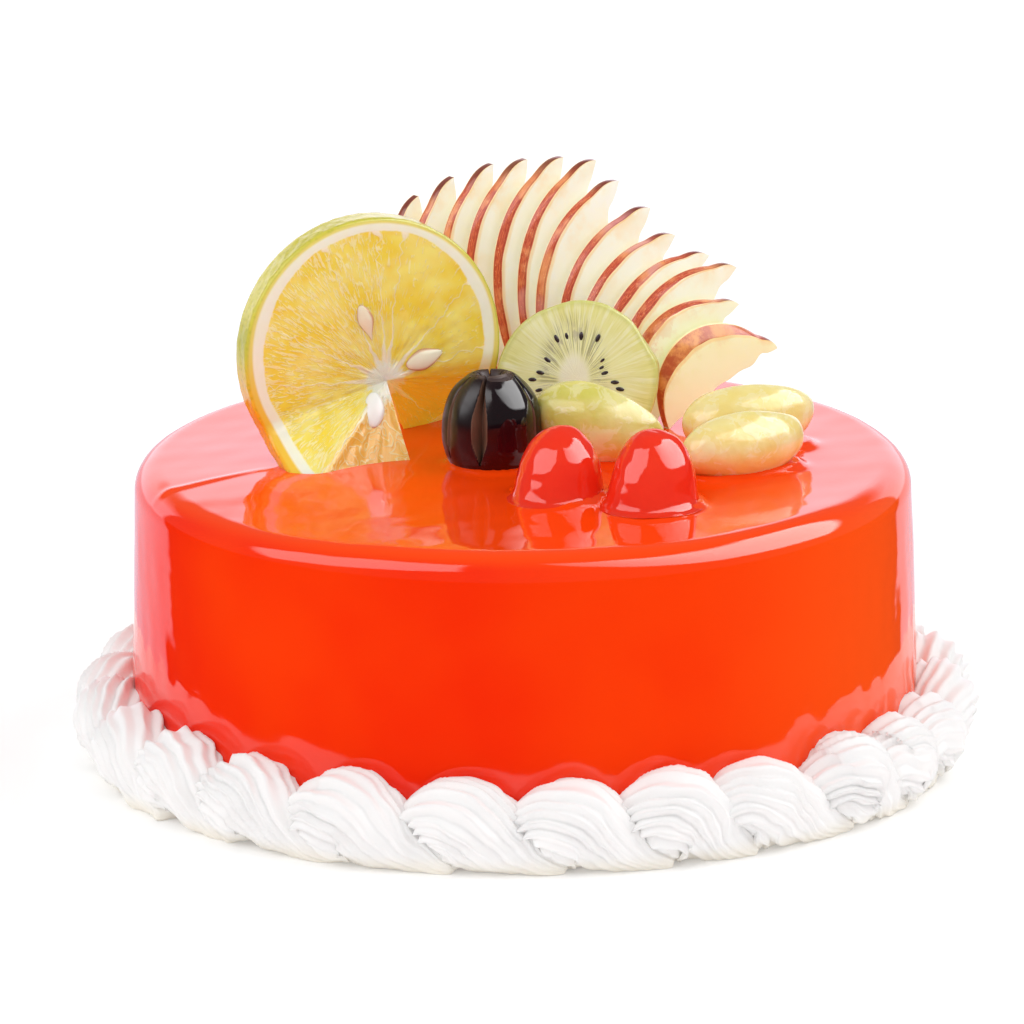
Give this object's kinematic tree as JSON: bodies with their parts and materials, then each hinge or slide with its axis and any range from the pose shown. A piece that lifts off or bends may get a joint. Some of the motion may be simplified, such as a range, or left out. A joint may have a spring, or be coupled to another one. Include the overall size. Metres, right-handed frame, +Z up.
{
  "type": "fresh fruit cake",
  "caption": "Round glazed cake with a piped cream shell border, topped with a twisted citrus wheel, a fan of thin fruit slices, a round green slice, grapes and cherries.",
  "frame": {"origin": "centre of the cake's flat base, on the surface that it stands on", "axes": "+Z up, -Y towards the side that the picture shows, +X to the right"},
  "size_m": [0.236, 0.236, 0.1454],
  "materials": {
    "glaze": "wet mirror glaze over the whole cake",
    "cream": "soft piped cream",
    "citrus": "wet cut flesh, pale pith and a green-yellow rind",
    "red_skin_slices": "pale wet flesh with a red skin edge",
    "green_slice": "wet green flesh with a pale core and dark seeds",
    "green_grapes": "wet translucent yellow-green",
    "dark_grape": "near-black skin, brown-grey flesh in the slits",
    "cherries": "glazed translucent red"
  },
  "bodies": {
    "root": {"cake": "glaze", "cream_shell_01": "cream", "cream_shell_02": "cream", "cream_shell_03": "cream", "cream_shell_04": "cream", "cream_shell_05": "cream", "cream_shell_06": "cream", "cream_shell_07": "cream", "cream_shell_08": "cream", "cream_shell_09": "cream", "cream_shell_10": "cream", "cream_shell_11": "cream", "cream_shell_12": "cream", "cream_shell_13": "cream", "cream_shell_14": "cream", "cream_shell_15": "cream", "cream_shell_16": "cream", "cream_shell_17": "cream", "cream_shell_18": "cream", "cream_shell_19": "cream", "cream_shell_20": "cream", "cream_shell_21": "cream", "cream_shell_22": "cream", "cream_shell_23": "cream", "cream_shell_24": "cream", "cream_shell_25": "cream", "cream_shell_26": "cream", "citrus_wheel": "citrus", "red_skin_slice_01": "red_skin_slices", "red_skin_slice_02": "red_skin_slices", "red_skin_slice_03": "red_skin_slices", "red_skin_slice_04": "red_skin_slices", "red_skin_slice_05": "red_skin_slices", "red_skin_slice_06": "red_skin_slices", "red_skin_slice_07": "red_skin_slices", "red_skin_slice_08": "red_skin_slices", "red_skin_slice_09": "red_skin_slices", "red_skin_slice_10": "red_skin_slices", "red_skin_slice_11": "red_skin_slices", "red_skin_slice_12": "red_skin_slices", "red_skin_slice_13": "red_skin_slices", "green_fruit_slice": "green_slice", "green_grape_middle": "green_grapes", "green_grape_right": "green_grapes", "green_grape_back": "green_grapes", "dark_grape": "dark_grape", "cherry_left": "cherries", "cherry_right": "cherries"}
  },
  "joints": []
}
